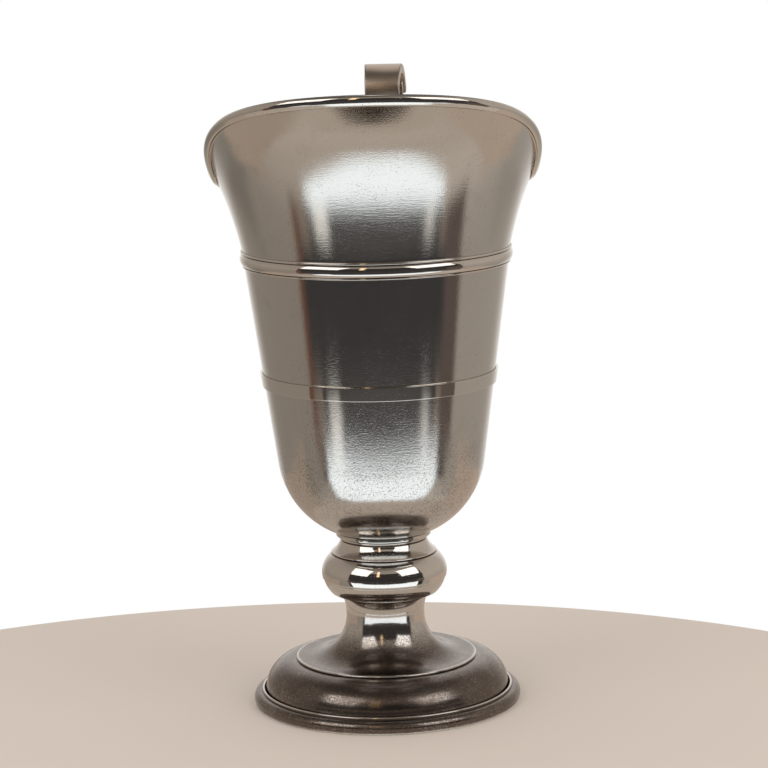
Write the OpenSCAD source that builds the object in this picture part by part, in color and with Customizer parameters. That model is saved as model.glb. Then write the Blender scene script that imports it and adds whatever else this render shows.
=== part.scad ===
// Pewter communion ewer with a helmet-shaped pouring lip, a knopped stem and a scroll handle.
// Millimetres, +Z up. The origin is the centre of the foot on the surface it stands on.
// The pouring lip points to -Y and the handle stands behind it at +Y.

/* [Foot] */
// Diameter of the dome where it rises out of the base ring
dome_d = 96; // [86:0.5:108]
// Radius of the dome's rounded shoulder
dome_round = 12; // [9:0.5:14]
// Upright skirt of the dome under its round
dome_skirt = 1.9; // [1:0.1:4]
// Depth of the rebate that the dome sits in
dome_sink = 2.6; // [1.5:0.1:3.2]
// Wall of the dome casting
foot_wall = 2; // [1.4:0.1:3]
// Width of the base ring outside the dome
base_out = 4.75; // [3.6:0.05:7]
// Width of the ledge under the dome's skirt
base_ledge = 3; // [2.5:0.1:5]
// Height of the base ring
base_h = 6.2; // [5.4:0.1:7.4]
// Upright edge of the base ring
base_edge_h = 2.2; // [1.2:0.1:2.8]
// Radius of the bead round the top of the base ring
base_bead_r = 0.55; // [0.4:0.05:0.8]
// Open crevice between that bead and the dome
base_crevice = 0.5; // [0.2:0.05:0.8]

/* [Stem] */
// Diameter of the flange that lies on the dome
flange_d = 71.3; // [66:0.1:72]
// Thickness of the flange
flange_t = 1; // [0.7:0.1:1.8]
// Narrowest diameter of the stem
neck_d = 30.4; // [27:0.1:33]
// Radius of the trumpet curve under the neck
trumpet_r = 17; // [14:0.5:19]
// Straight length of the neck
neck_h = 1; // [0.5:0.1:4]
// Radius of the hollow curve over the neck
throat_r = 6; // [5:0.1:8]
// Height of that curve
throat_h = 3.9; // [2.5:0.1:4.6]
// Height of the bead over the throat
throat_bead = 0.9; // [0.6:0.1:1.6]
// Height of the sloped underside of the knop
knop_under_h = 2; // [1:0.1:4]
// Diameter over the knop
knop_d = 49.2; // [46:0.1:54]
// Radius of the knop's lower curve
knop_low_r = 11; // [10:0.1:13]
// Height of the lower curve up to the widest line
knop_low_h = 8.5; // [7:0.1:9.4]
// Radius of the knop's upper curve
knop_up_r = 9.5; // [8.8:0.1:11]
// Height of the upper curve over the widest line
knop_up_h = 8; // [6.5:0.1:8.4]
// Drop of the soldered seam below the widest line
seam_drop = 2.2; // [1:0.1:4]
// Step at the soldered seam
seam_step = 0.35; // [0.1:0.05:0.8]
// Diameter of the fillet over the knop
crease_d = 41.4; // [39:0.1:44]
// Height of that fillet
crease_h = 0.6; // [0.4:0.1:1.2]
// Height of the hollow collar over the fillet
collar_h = 4.5; // [3.5:0.1:8]
// Radius of the collar's hollow curve
collar_r = 9; // [7:0.1:14]
// Narrowest diameter of the collar
collar_d = 34; // [32:0.1:37]
// Height of the groove over the collar
groove_h = 0.6; // [0.4:0.1:1]
// Depth of that groove
groove_t = 0.3; // [0.1:0.05:0.6]
// Height of the bead between groove and bowl flange
collar_bead = 1.2; // [0.8:0.1:2]
// Height of the bowl flange at its seat
cradle_h = 0.8; // [0.6:0.1:2]
// Width of the bowl flange outside its flat seat
cradle_out = 2.2; // [1.4:0.1:3.4]
// Wall of the stem castings
stem_wall = 2.2; // [1.6:0.1:2.8]

/* [Bowl] */
// Diameter of the bowl at the foot of its straight wall
bowl_d = 80.7; // [74:0.1:90]
// Radius of the bowl's rounded bottom
bowl_round = 35; // [31:0.5:37]
// Taper of the bowl wall from upright, in degrees
bowl_taper = 7.86; // [4:0.01:11]
// Diameter of the flat seat under the bowl
seat_d = 32.8; // [31:0.1:34.5]
// Wall of the bowl castings
bowl_wall_t = 1.8; // [1.2:0.1:2.8]
// Thickness of the bowl's floor over the stem
bowl_floor = 2.4; // [1.6:0.1:4]
// Height of the cup from the foot of its straight wall to the lower band's middle
cup_h = 33.8; // [24:0.2:44]
// Height of the wall between the middles of the two bands
wall_h = 47.2; // [36:0.2:60]
// Height from the upper band's middle to the start of the flare
lip_foot_h = 4.4; // [4:0.1:9]
// Height of the lower band
low_band_h = 5.3; // [3:0.1:8]
// Thickness of the lower band
low_band_t = 0.95; // [0.5:0.05:1.6]
// Height of the upper band
up_band_h = 6.6; // [5:0.1:8]
// Thickness of the upper band between its beads
up_band_t = 0.5; // [0.3:0.05:1]
// Radius of the upper band's beads
up_bead_r = 0.8; // [0.5:0.05:1.2]

/* [Lip] */
// Angle at which the lip kicks out from the bowl wall, in degrees
lip_kick = 4.6; // [0:0.1:8]
// Radius of the flare in section
flare_r = 145; // [120:1:180]
// Height of the rim's lowest point over the start of the flare
rim_low_h = 26.1; // [20:0.1:30]
// Distance of the rim's lowest point behind the axis
rim_low_y = 11.5; // [6:0.5:18]
// Radius of the dip at the sides of the rim
rim_dip_r = 52; // [42:1:60]
// Slope of the rim between dip and crown, in degrees
rim_rise = 33.6; // [27:0.1:36]
// Radius of the crown over the pouring lip
rim_crown_r = 191; // [170:1:240]
// Radius of the rise towards the handle
rim_back_r = 200; // [150:1:400]
// Width of the rim moulding along the wall
mould_w = 4.4; // [3.4:0.1:5.4]
// Height of the rim moulding over the wall
mould_t = 2.1; // [1.6:0.1:2.8]
// Upright edge of the rim moulding under its round
mould_edge = 0.45; // [0.3:0.05:0.8]
// Width of the fillet under the rim moulding's round
fillet_w = 0.7; // [0.5:0.05:1]
// Sections of the rim moulding round the mouth
mould_steps = 120; // [72:4:160]

/* [Handle] */
// Angle of the handle to one side of the line opposite the lip, in degrees
handle_turn = 3.5; // [-6:0.5:6]
// Thickness of the strap
strap_t = 4; // [3:0.1:5]
// Width of the scroll at its back, over the strap's shoulders
strap_w = 17.2; // [14:0.1:20]
// Width of the strap under its shoulders
grip_w = 10.8; // [9:0.1:13.5]
// Height of the shoulders
shoulder_h = 1.2; // [0.8:0.1:3]
// Width of the strap at its tail
tail_w = 10; // [8:0.1:12]
// Width of the scroll at its front
curl_w = 13.4; // [11.5:0.1:15]
// Outer radius of the scroll
scroll_r = 11.5; // [10.5:0.1:14]
// Outer radius of the scroll's inner turn
curl_r = 7.5; // [6.6:0.1:8.2]
// Height of the scroll's inner turn over the back of the rim
scroll_rise = 13.5; // [11:0.1:18]
// Distance of the scroll's middle behind the rim's outer wall
scroll_back = 1.2; // [-2:0.1:5]
// Angle at which the strap leaves the scroll, in degrees from level
strap_lean = 30; // [25:0.5:44]
// Radius of the tail curl, to the middle of the strap
tail_r = 11; // [9:0.1:15]
// Height of the tail's seat over the lower band's middle
tail_rise = 12.2; // [10:0.1:20]
// Least thickness of the pad under the strap
pad_t = 2.4; // [1.5:0.1:5]
// Height of the pad
pad_h = 14; // [10:0.2:18]
// Width of the pad
pad_w = 9.4; // [7:0.1:10]
// Width of the post under the scroll
post_w = 11; // [8:0.1:12]
// Thickness of the post behind the rim moulding
post_t = 3.4; // [2.4:0.1:5]
// Angle below level up to which the post hugs the scroll, in degrees
post_hug = 37; // [25:1:50]
// Drop of the post's foot below the rim
post_drop = 17; // [12:0.2:22]
// Thickness of the post's foot
post_foot_t = 2.4; // [1.6:0.1:3.4]

/* [Fits] */
// Gap that the solder fills between curved seats
solder_gap = 0.1; // [0.05:0.01:0.2]

/* [Hidden] */
$fn = 96;
BIG = 400;
LAP = 0.3;
ROUND_FACES = 8;
FILLET_FACES = 4;
BRIGHT = "#b3a99d";
PEWTER = "#958c82";
DARK = "#6f665d";

// Foot, from the floor up
dome_or = dome_d / 2;
base_or = dome_or + base_out;
base_ir = dome_or - base_ledge;
base_chamfer = base_edge_h / 4;
base_ovolo = base_h - 2 * base_bead_r - base_edge_h;
z_ledge = base_h - dome_sink;
z_dome = z_ledge + dome_skirt;
z_flange = z_dome + dome_round;
dome_flat_r = dome_or - dome_round;

// Stem
neck_r = neck_d / 2;
flange_r = flange_d / 2;
z_disc = z_flange + flange_t;
z_neck = z_disc + trumpet_r;
z_throat = z_neck + neck_h;
z_bead = z_throat + throat_h;
z_under = z_bead + throat_bead;
z_ridge = z_under + knop_under_h;
z_knop = z_ridge + knop_low_h;
z_seam = z_knop - seam_drop;
z_crease = z_knop + knop_up_h;
z_flare = z_crease + crease_h;
z_groove = z_flare + collar_h;
z_cbead = z_groove + groove_h;
z_cradle = z_cbead + collar_bead;
z_seat = z_cradle + cradle_h;
trumpet_cr = neck_r + trumpet_r;
trumpet_ir = trumpet_r + stem_wall;
mouth_r = trumpet_cr - sqrt(max(pow(trumpet_ir, 2) - pow(z_neck - z_flange, 2), 0));
throat_or = neck_r + throat_r - sqrt(pow(throat_r, 2) - pow(throat_h, 2));
knop_low_c = knop_d / 2 - seam_step - knop_low_r;
knop_up_c = knop_d / 2 - knop_up_r;
ridge_r = knop_low_c + sqrt(pow(knop_low_r, 2) - pow(knop_low_h, 2));
crease_r = crease_d / 2;
collar_or = collar_d / 2;
stem_bore = neck_r - stem_wall;
collar_bore = collar_or - stem_wall;

// Bowl
seat_r = seat_d / 2;
cradle_r = seat_r + cradle_out;
bowl_r = bowl_d / 2;
bowl_c = bowl_r - bowl_round * cos(bowl_taper);
z_round = z_seat + sqrt(pow(bowl_round, 2) - pow(seat_r - bowl_c, 2));
z_wall = z_round - bowl_round * sin(bowl_taper);
z_low_band = z_wall + cup_h;
z_up_band = z_low_band + wall_h;
z_lip = z_up_band + lip_foot_h;
wall_skin = bowl_wall_t / cos(bowl_taper);

// Flare of the lip: one arc that kicks out from the bowl wall, its centre outside the lip
lip_lean = bowl_taper + lip_kick;
flare_cr = cone_r(z_lip) + flare_r * cos(lip_lean);
flare_cz = z_lip - flare_r * sin(lip_lean);

// Saddle of the rim, seen from the side: dip, rise and crown are tangent arcs
z_rim_low = z_lip + rim_low_h;
rise_y = rim_low_y - rim_dip_r * sin(rim_rise);
rise_z = z_rim_low + rim_dip_r * (1 - cos(rim_rise));
crown_y = rise_y - rim_crown_r * sin(rim_rise);
crown_z = rise_z - rim_crown_r * cos(rim_rise);
z_lid = crown_z + rim_crown_r + mould_w;
back_a = rim_angle(180);
back_r = flare_cr - flare_r * cos(back_a);
back_z = flare_cz + flare_r * sin(back_a);

// Handle in its own plane: distance behind the axis and height
scroll_mid = scroll_r - strap_t / 2;
curl_mid = curl_r - strap_t / 2;
scroll_c = [back_r + scroll_back, back_z + scroll_rise + curl_r];
curl_c = scroll_c - [scroll_mid - curl_mid, 0];
// Bearing at which the scroll's inner turn stops
curl_end = 390;
lean = [cos(strap_lean), sin(strap_lean)];
tail_z = z_low_band + tail_rise;
tail_c = [cone_r(tail_z) + pad_t + strap_t / 2 + tail_r, tail_z];
// Bearing at which the tail curl stops
tail_end = 290;
leave = scroll_c + scroll_mid * lean;
span = leave - tail_c;
bow_r = (span * span - pow(tail_r, 2)) / (2 * (span * lean + tail_r));
bow_c = scroll_c + (scroll_mid - bow_r) * lean;
bow_dir = tail_c - bow_c;
bow_a = atan2(bow_dir[1], bow_dir[0]);
// The bow runs a little into the bends at its ends, so that the three are one piece
bow_lap = LAP / bow_r * 180 / PI;

// Radius of the bowl's straight wall at a height
function cone_r(z) = bowl_r + (z - z_wall) * tan(bowl_taper);

// Height of the saddle at a distance behind the axis
function saddle_z(y) =
    y < rise_y ? crown_z + sqrt(pow(rim_crown_r, 2) - pow(y - crown_y, 2))
    : y < rim_low_y ? z_rim_low + rim_dip_r - sqrt(pow(rim_dip_r, 2) - pow(y - rim_low_y, 2))
    : z_rim_low + rim_back_r - sqrt(pow(rim_back_r, 2) - pow(y - rim_low_y, 2));

// Angle along the flare where it meets the saddle, at a bearing from the lip: halved steps
function rim_angle(bearing, a = 25, steps = 40) =
    steps == 0 ? a
    : let (y = (flare_r * cos(a) - flare_cr) * cos(bearing),
           next = asin(min((saddle_z(y) - flare_cz) / flare_r, 0.95)))
      rim_angle(bearing, (a + next) / 2, steps - 1);

// Height where the lip's straight foot meets the flare, at an offset from the outer face
function kick_z(off) =
    let (half = sqrt(pow(flare_r - off, 2) - pow(flare_r * cos(lip_kick) - off, 2)),
         up = half - flare_r * sin(lip_kick))
    z_lip + up * cos(bowl_taper) - off * sin(bowl_taper);

// Angle that a length along the flare spans
function flare_span(length) = length / flare_r * 180 / PI;

// Centre of the arc of radius r from p to q that bends away to the right of the chord
function arc_centre(p, q, r) =
    let (d = q - p, half = norm(d) / 2, rise = sqrt(pow(r, 2) - pow(half, 2)))
    (p + q) / 2 + rise * [d[1], -d[0]] / norm(d);

// Rectangle from two corners
module block(p, q) {
    polygon([p, [q[0], p[1]], q, [p[0], q[1]]]);
}

// Disc at a point
module disc(c, r) {
    translate(c) circle(r = r);
}

// Turned solid from a half section
module turned() {
    rotate_extrude($fn = 180) children();
}

// Outline in the plane of the handle, given a width across it
module upright(w) {
    rotate([90, 0, 90]) linear_extrude(height = w, center = true) children();
}

// Everything inside the bowl's straight wall plus an offset, between two heights
module cone_region(off, z0, z1) {
    polygon([[0, z0], [cone_r(z0) + off, z0], [cone_r(z1) + off, z1], [0, z1]]);
}

// Everything inside the rounded bottom plus the straight wall, less a wall thickness; the
// bottom runs a little into the wall
module cup_region(inset, floor_z, top_z) {
    z_meet = z_round - (bowl_round - inset) * sin(bowl_taper);
    intersection() {
        union() {
            disc([bowl_c, z_round], bowl_round - inset);
            block([0, z_seat], [bowl_c, z_round]);
        }
        block([0, floor_z], [BIG, z_meet + LAP]);
    }
    cone_region(-inset / cos(bowl_taper), z_meet, top_z);
}

// Everything inside the lip at an offset from its outer face: straight foot, which runs a
// little into the flare, then the flare
module lip_region(off) {
    z_meet = kick_z(off);
    cone_region(off / cos(bowl_taper), z_up_band, z_meet + LAP);
    difference() {
        block([0, z_meet], [flare_cr, z_lid]);
        disc([flare_cr, flare_cz], flare_r - off);
    }
}

// Region over the saddle, seen from the side; the dip runs a little into its neighbours
module saddle_region() {
    difference() {
        block([-BIG, z_lip], [rise_y, BIG]);
        disc([crown_y, crown_z], rim_crown_r);
    }
    intersection() {
        block([rise_y - LAP, z_lip], [rim_low_y + LAP, z_lid]);
        disc([rim_low_y, z_rim_low + rim_dip_r], rim_dip_r);
    }
    intersection() {
        block([rim_low_y, z_lip], [flare_cr, z_lid]);
        disc([rim_low_y, z_rim_low + rim_back_r], rim_back_r);
    }
}

// Bent strap: a ring sector between two angles
module bend(c, r, a0, a1) {
    translate(c) intersection() {
        difference() {
            circle(r = r + strap_t / 2);
            circle(r = r - strap_t / 2);
        }
        sector(2 * r, a0, a1);
    }
}

// Wedge from the origin, in steps of at most a right angle
module sector(r, a0, a1) {
    quarters = ceil((a1 - a0) / 90);
    step = (a1 - a0) / quarters;
    polygon([[0, 0], for (i = [0:quarters]) r * [cos(a0 + i * step), sin(a0 + i * step)]]);
}

module base_ring() {
    color(DARK) turned() difference() {
        union() {
            polygon([[base_ir, 0], [base_or - base_chamfer, 0], [base_or, base_chamfer],
                     [base_or, base_edge_h], [base_ir, base_edge_h]]);
            block([base_ir, 0], [base_or - base_ovolo, base_edge_h + base_ovolo]);
            intersection() {
                disc([base_or - base_ovolo, base_edge_h], base_ovolo);
                block([base_ir, base_edge_h], [base_or, base_h]);
            }
            disc([dome_or + base_crevice + base_bead_r, base_h - base_bead_r], base_bead_r);
            block([base_ir, 0], [dome_or + base_crevice + 2 * base_bead_r, base_h - base_bead_r]);
        }
        block([0, z_ledge], [dome_or + solder_gap, base_h]);
        polygon([[0, z_ledge], [dome_or + solder_gap, z_ledge],
                 [dome_or + base_crevice, base_h - base_bead_r],
                 [dome_or + base_crevice, base_h], [0, base_h]]);
    }
}

module foot_dome() {
    color(DARK) turned() difference() {
        union() {
            block([0, z_ledge], [dome_or, z_dome]);
            block([0, z_dome], [dome_flat_r, z_flange]);
            intersection() {
                disc([dome_flat_r, z_dome], dome_round);
                block([dome_flat_r, z_dome], [dome_or, z_flange]);
            }
        }
        block([0, z_ledge], [dome_or - foot_wall, z_dome]);
        block([0, z_dome], [dome_flat_r, z_flange - foot_wall]);
        disc([dome_flat_r, z_dome], dome_round - foot_wall);
        block([0, z_ledge], [mouth_r, z_flange]);
    }
}

module lower_stem() {
    color(PEWTER) turned() difference() {
        union() {
            block([0, z_flange], [flange_r - flange_t / 2, z_disc]);
            disc([flange_r - flange_t / 2, z_flange + flange_t / 2], flange_t / 2);
            difference() {
                block([0, z_disc], [min(trumpet_cr, flange_r - flange_t / 2), z_neck]);
                disc([trumpet_cr, z_neck], trumpet_r);
            }
            block([0, z_neck], [neck_r, z_throat]);
            difference() {
                block([0, z_throat], [throat_or, z_bead]);
                disc([neck_r + throat_r, z_throat], throat_r);
            }
            block([0, z_bead], [throat_or, z_under]);
            disc([throat_or, (z_bead + z_under) / 2], throat_bead / 2);
            polygon([[0, z_under], [throat_or, z_under], [ridge_r, z_ridge], [0, z_ridge]]);
            block([0, z_ridge], [knop_low_c, z_seam]);
            intersection() {
                disc([knop_low_c, z_knop], knop_low_r);
                block([knop_low_c, z_ridge], [knop_d, z_seam]);
            }
        }
        difference() {
            block([0, z_flange], [trumpet_cr, z_neck]);
            disc([trumpet_cr, z_neck], trumpet_ir);
        }
        block([0, z_neck], [stem_bore, z_seam]);
        block([0, z_knop - knop_low_r + stem_wall], [knop_low_c, z_seam]);
        intersection() {
            disc([knop_low_c, z_knop], knop_low_r - stem_wall);
            block([0, z_ridge - stem_wall], [knop_d, z_seam]);
        }
    }
}

module upper_stem() {
    flare_p = [crease_r - crease_h / 2, z_flare];
    flare_q = [collar_or, z_groove];
    color(BRIGHT) turned() difference() {
        union() {
            block([0, z_seam], [collar_or - groove_t, z_seat]);
            block([0, z_seam], [knop_up_c, z_crease]);
            intersection() {
                disc([knop_up_c, z_knop], knop_up_r);
                block([knop_up_c, z_seam], [knop_d, z_crease]);
            }
            block([0, z_crease], [crease_r - crease_h / 2, z_flare]);
            disc([crease_r - crease_h / 2, z_crease + crease_h / 2], crease_h / 2);
            difference() {
                polygon([[0, z_flare], flare_p, flare_q, [0, z_groove]]);
                disc(arc_centre(flare_p, flare_q, collar_r), collar_r);
            }
            disc([collar_or, z_cbead + collar_bead / 2], collar_bead / 2);
            block([0, z_cbead], [collar_or, z_cradle]);
            difference() {
                block([0, z_cradle], [cradle_r, z_round]);
                intersection() {
                    disc([bowl_c, z_round], bowl_round + solder_gap);
                    block([0, z_seat], [BIG, z_round]);
                }
                block([0, z_seat], [seat_r, z_round]);
            }
        }
        block([0, z_seam], [collar_bore, z_seat]);
        intersection() {
            disc([knop_up_c, z_knop], knop_up_r - stem_wall);
            block([0, z_seam], [knop_d, z_crease]);
        }
        block([0, z_seam], [knop_up_c, z_knop + knop_up_r - stem_wall]);
    }
}

module bowl_cup() {
    color(PEWTER) turned() difference() {
        cup_region(0, z_seat, z_low_band);
        cup_region(bowl_wall_t, z_seat + bowl_floor, z_low_band);
    }
}

module lower_band() {
    half = low_band_h / 2;
    color(BRIGHT) turned() difference() {
        cone_region(low_band_t, z_low_band - half, z_low_band + half);
        cone_region(solder_gap, z_low_band - half, z_low_band + half);
    }
}

module bowl_wall() {
    color(PEWTER) turned() difference() {
        cone_region(0, z_low_band, z_up_band);
        cone_region(-wall_skin, z_low_band, z_up_band);
    }
}

module upper_band() {
    half = up_band_h / 2;
    color(BRIGHT) turned() difference() {
        union() {
            cone_region(up_band_t, z_up_band - half, z_up_band + half);
            for (s = [-1, 1]) {
                z = z_up_band + s * (half - up_bead_r);
                disc([cone_r(z) + up_band_t, z], up_bead_r);
            }
        }
        cone_region(solder_gap, z_up_band - half, z_up_band + half);
    }
}

module bowl_lip() {
    color(PEWTER) difference() {
        turned() difference() {
            lip_region(0);
            lip_region(-bowl_wall_t);
        }
        upright(BIG) saddle_region();
    }
}

// Section of the rim moulding: height over the wall and distance below the edge.
// A half round stands on an upright edge, with a thin round fillet under it
MOULD = let (round_w = mould_w - fillet_w)
    [[solder_gap, mould_w], [solder_gap, 0],
     for (i = [0:ROUND_FACES])
        let (a = 180 * (1 - i / ROUND_FACES))
        [mould_edge + (mould_t - mould_edge) * sin(a), round_w / 2 * (1 + cos(a))],
     for (i = [1:FILLET_FACES])
        let (a = 180 * (1 - i / FILLET_FACES))
        [mould_edge + fillet_w / 2 * sin(a), round_w + fillet_w / 2 * (1 + cos(a))]];

// A point of the moulding on the bearing's own section plane
function mould_point(bearing, edge, p) =
    let (a = edge - flare_span(p[1]),
         r = flare_cr - (flare_r - p[0]) * cos(a))
    [r * sin(bearing), -r * cos(bearing), flare_cz + (flare_r - p[0]) * sin(a)];

module rim_moulding() {
    n = mould_steps;
    m = len(MOULD);
    points = [for (i = [0:n - 1])
              let (bearing = i * 360 / n, edge = rim_angle(bearing))
              for (p = MOULD) mould_point(bearing, edge, p)];
    faces = [for (i = [0:n - 1], j = [0:m - 1], half = [0, 1])
             let (a = i * m, b = ((i + 1) % n) * m, k = (j + 1) % m)
             half == 0 ? [a + j, b + j, b + k] : [a + j, b + k, a + k]];
    color(BRIGHT) polyhedron(points, faces);
}

// Side outline of the strap: rolled scroll, long bow and tail curl as tangent bends
module strap_outline() {
    bend(curl_c, curl_mid, 180, curl_end);
    disc(curl_c + curl_mid * [cos(curl_end), sin(curl_end)], strap_t / 2);
    bend(scroll_c, scroll_mid, strap_lean, 180);
    bend(bow_c, bow_r, bow_a - bow_lap, strap_lean + bow_lap);
    bend(tail_c, tail_r, bow_a + 180, tail_end);
    disc(tail_c + tail_r * [cos(tail_end), sin(tail_end)], strap_t / 2);
}

// Part of the side outline that belongs to the rolled-in end of the scroll
module curl_zone() {
    block(scroll_c - 2 * scroll_r * [1, 1], scroll_c + [0, scroll_r]);
    block(scroll_c - 2 * scroll_r * [0, 1], scroll_c + (scroll_r - strap_t) * lean);
}

// Corners of what lies outside a width that changes along a line, on one side of it
function outside(side, p0, w0, p1, w1) =
    [[side * w0 / 2, p0], [side * w1 / 2, p1], [side * strap_w, p1], [side * strap_w, p0]];

// Prisms along Y on both sides of the strap, outside a width that changes with height
module side_cuts(z0, w0, z1, w1) {
    for (side = [-1, 1]) rotate([90, 0, 0]) linear_extrude(height = BIG, center = true)
        polygon(outside(side, z0, w0, z1, w1));
}

// Upright prisms on both sides of the scroll, which widens away from the bowl
module fan_cuts(q0, w0, q1, w1) {
    for (side = [-1, 1]) linear_extrude(height = BIG) polygon(outside(side, q0, w0, q1, w1));
}

module handle_strap() {
    z_tail = tail_z - tail_r - strap_t;
    z_under_shoulder = scroll_c[1] - shoulder_h;
    color(BRIGHT) rotate([0, 0, -handle_turn]) difference() {
        upright(strap_w) strap_outline();
        fan_cuts(scroll_c[0] - scroll_r, curl_w, scroll_c[0] + scroll_r, strap_w);
        difference() {
            union() {
                side_cuts(z_tail, tail_w, z_under_shoulder, grip_w);
                side_cuts(z_under_shoulder, grip_w, scroll_c[1], strap_w);
            }
            upright(2 * strap_w) curl_zone();
        }
    }
}

// Space that the lip's wall and the rim moulding take up behind the mouth
module rim_space() {
    difference() {
        lip_region(solder_gap);
        block([0, back_z + solder_gap], [BIG, z_lid]);
    }
    translate([flare_cr, flare_cz]) intersection() {
        difference() {
            circle(r = flare_r);
            circle(r = flare_r - mould_t - solder_gap);
        }
        sector(2 * flare_r, 180 - back_a - flare_span(solder_gap),
               180 - back_a + flare_span(mould_w + 3 * solder_gap));
    }
}

module handle_upper_bracket() {
    foot_z = back_z - post_drop;
    foot_a = asin((foot_z - flare_cz) / flare_r);
    foot_r = flare_cr - flare_r * cos(foot_a);
    knee_r = back_r + mould_t + post_t;
    front_r = back_r - bowl_wall_t;
    hug = curl_c + curl_r * [cos(post_hug), -sin(post_hug)];
    color(BRIGHT) rotate([0, 0, -handle_turn]) difference() {
        upright(post_w) difference() {
            polygon([[foot_r - post_t, foot_z], [foot_r + post_foot_t, foot_z], [knee_r, back_z],
                     hug, [front_r, hug[1]], [front_r, back_z]]);
            disc(curl_c, curl_r + solder_gap);
        }
        turned() rim_space();
    }
}

module handle_lower_bracket() {
    color(BRIGHT) rotate([0, 0, -handle_turn]) difference() {
        upright(pad_w) difference() {
            block([cone_r(tail_z) - pad_t, tail_z - pad_h / 2], [tail_c[0], tail_z + pad_h / 2]);
            disc(tail_c, tail_r + strap_t / 2 + solder_gap);
        }
        turned() cone_region(solder_gap, tail_z - pad_h, tail_z + pad_h);
    }
}

base_ring();
foot_dome();
lower_stem();
upper_stem();
bowl_cup();
lower_band();
bowl_wall();
upper_band();
bowl_lip();
rim_moulding();
handle_strap();
handle_upper_bracket();
handle_lower_bracket();
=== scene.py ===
import math

import bpy
import numpy as np
from mathutils import Matrix, Vector


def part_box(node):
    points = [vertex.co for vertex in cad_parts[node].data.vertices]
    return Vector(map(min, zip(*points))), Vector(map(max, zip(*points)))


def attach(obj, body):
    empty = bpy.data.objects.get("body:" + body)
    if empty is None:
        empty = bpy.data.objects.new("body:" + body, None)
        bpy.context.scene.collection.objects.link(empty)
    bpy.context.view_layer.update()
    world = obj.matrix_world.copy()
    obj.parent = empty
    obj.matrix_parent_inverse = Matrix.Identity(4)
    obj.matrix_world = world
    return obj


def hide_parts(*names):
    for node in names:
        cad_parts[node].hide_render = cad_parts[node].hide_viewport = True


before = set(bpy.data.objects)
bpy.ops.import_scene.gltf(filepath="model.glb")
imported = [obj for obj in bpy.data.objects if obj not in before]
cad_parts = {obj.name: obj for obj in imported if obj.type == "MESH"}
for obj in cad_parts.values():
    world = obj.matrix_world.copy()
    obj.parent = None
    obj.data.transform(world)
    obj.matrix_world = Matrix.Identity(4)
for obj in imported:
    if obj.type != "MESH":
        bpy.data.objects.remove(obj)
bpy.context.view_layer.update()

bl_info = {
    "name": "Pewter communion ewer",
    "version": (1, 0, 0),
    "blender": (4, 5, 0),
    "location": "View3D > Sidebar > Ewer",
    "description": "Turned, flared and cast pieces of a pewter ewer, with their finishes and a stage",
    "category": "Object",
}

MM = 0.001
ROUND_STEPS = 256
LIP_STEPS = 480
TURN_MAP = "turn"
EDGE_MARK = "edge"

# Widths over which turned corners are worn round, and the least bend that marks an edge
SOFT_EDGE, CRISP_EDGE, BEAD_EDGE, RIM_EDGE = 0.18 * MM, 0.12 * MM, 0.08 * MM, 0.06 * MM
SWEPT_EDGE = 0.2 * MM
EDGE_START = 0.07

# Turning lines: their scale round the axis and along the wall, per metre
ROUND_SCALE, LINES_PER_METRE = 110.0, 2600.0
# Depth of pits in millimetres, and how far pits and film hide and roughen the metal
PIT_DEPTH, PIT_COVER, FILM_ROUGH = 0.01, 0.75, 0.12


# Sizes and colours that a user may change


def length(name, millimetres, description):
    """A size in metres, given in millimetres."""
    return bpy.props.FloatProperty(name=name, description=description, default=millimetres * MM,
                                   precision=5, unit="LENGTH", subtype="DISTANCE")


def angle(name, degrees, description):
    """An angle, given in degrees."""
    return bpy.props.FloatProperty(name=name, description=description, default=math.radians(degrees),
                                   unit="ROTATION", subtype="ANGLE")


def number(name, value, description):
    """A plain number."""
    return bpy.props.FloatProperty(name=name, description=description, default=value, precision=4)


def colour(name, value, description):
    """A linear colour."""
    return bpy.props.FloatVectorProperty(name=name, description=description, default=value, size=3,
                                         min=0.0, soft_max=1.0, subtype="COLOR")


class FootSizes(bpy.types.PropertyGroup):
    """Sizes of the base ring and the dome that its own nodes don't give."""
    dome_round: length("Dome shoulder", 12, "Radius of the dome's rounded shoulder")
    wall: length("Foot wall", 2, "Wall of the dome casting")
    ledge: length("Ledge", 3, "Width of the ledge under the dome's skirt")
    edge_h: length("Ring edge", 2.2, "Upright edge of the base ring")
    bead_r: length("Ring bead", 0.55, "Radius of the bead round the top of the base ring")
    crevice: length("Crevice", 0.5, "Open crevice between that bead and the dome")
    flange_t: length("Flange", 1, "Thickness of the stem's flange on the dome")
    gap: length("Solder gap", 0.1, "Gap that the solder fills round the dome's skirt")


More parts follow.
